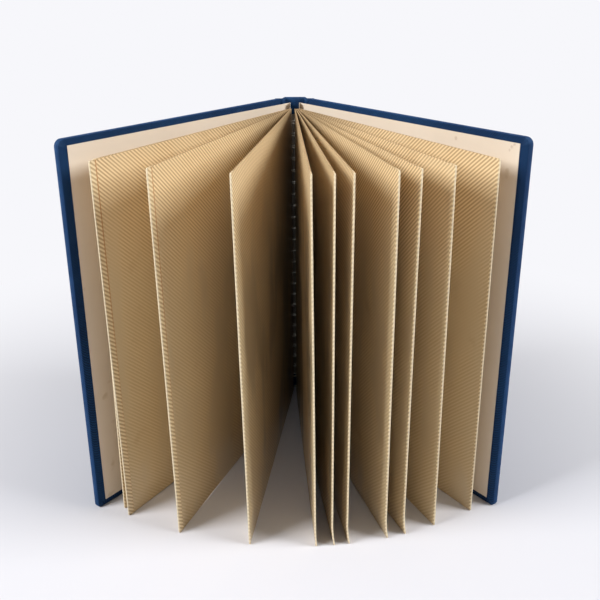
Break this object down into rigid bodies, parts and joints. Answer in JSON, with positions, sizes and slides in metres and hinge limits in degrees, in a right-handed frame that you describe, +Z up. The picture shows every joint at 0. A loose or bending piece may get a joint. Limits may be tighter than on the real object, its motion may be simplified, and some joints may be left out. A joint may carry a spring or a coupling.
{
  "type": "open book",
  "caption": "Spiral-bound photo album in padded blue cloth covers, stood upright and opened wide, with stiff leaves fanned out from a wire coil.",
  "frame": {"origin": "on the floor under the middle of the spine board", "axes": "+Z up along the spine, +X from the front cover to the back cover, leaves open towards -Y"},
  "size_m": [0.3168, 0.2555, 0.292],
  "materials": {
    "board": "matt",
    "foam": "matt",
    "book_cloth": "fine weave, slight sheen",
    "end_sheet": "matt",
    "leaves": "satin film over card",
    "coil_wire": "satin"
  },
  "bodies": {
    "spine": {"spine_board": "board", "spine_cloth": "book_cloth", "binding_coil": "coil_wire", "pages": "leaves"},
    "front_cover": {"front_board": "board", "front_padding": "foam", "front_cover_cloth": "book_cloth", "front_end_sheet": "end_sheet"},
    "back_cover": {"back_board": "board", "back_padding": "foam", "back_cover_cloth": "book_cloth", "back_end_sheet": "end_sheet"}
  },
  "joints": [
    {"name": "front_cover_hinge", "type": "hinge", "parent": "spine", "child": "front_cover", "pos_m": [-0.0115, -0.00805, 0.146], "axis": [0, 0, 1], "range_deg": [-53.3, 36.7], "deforming": ["front_end_sheet", "spine_cloth", "pages"]},
    {"name": "back_cover_hinge", "type": "hinge", "parent": "spine", "child": "back_cover", "pos_m": [0.0115, -0.00805, 0.146], "axis": [0, 0, 1], "range_deg": [-36.7, 53.3], "deforming": ["back_end_sheet", "spine_cloth", "pages"]}
  ]
}
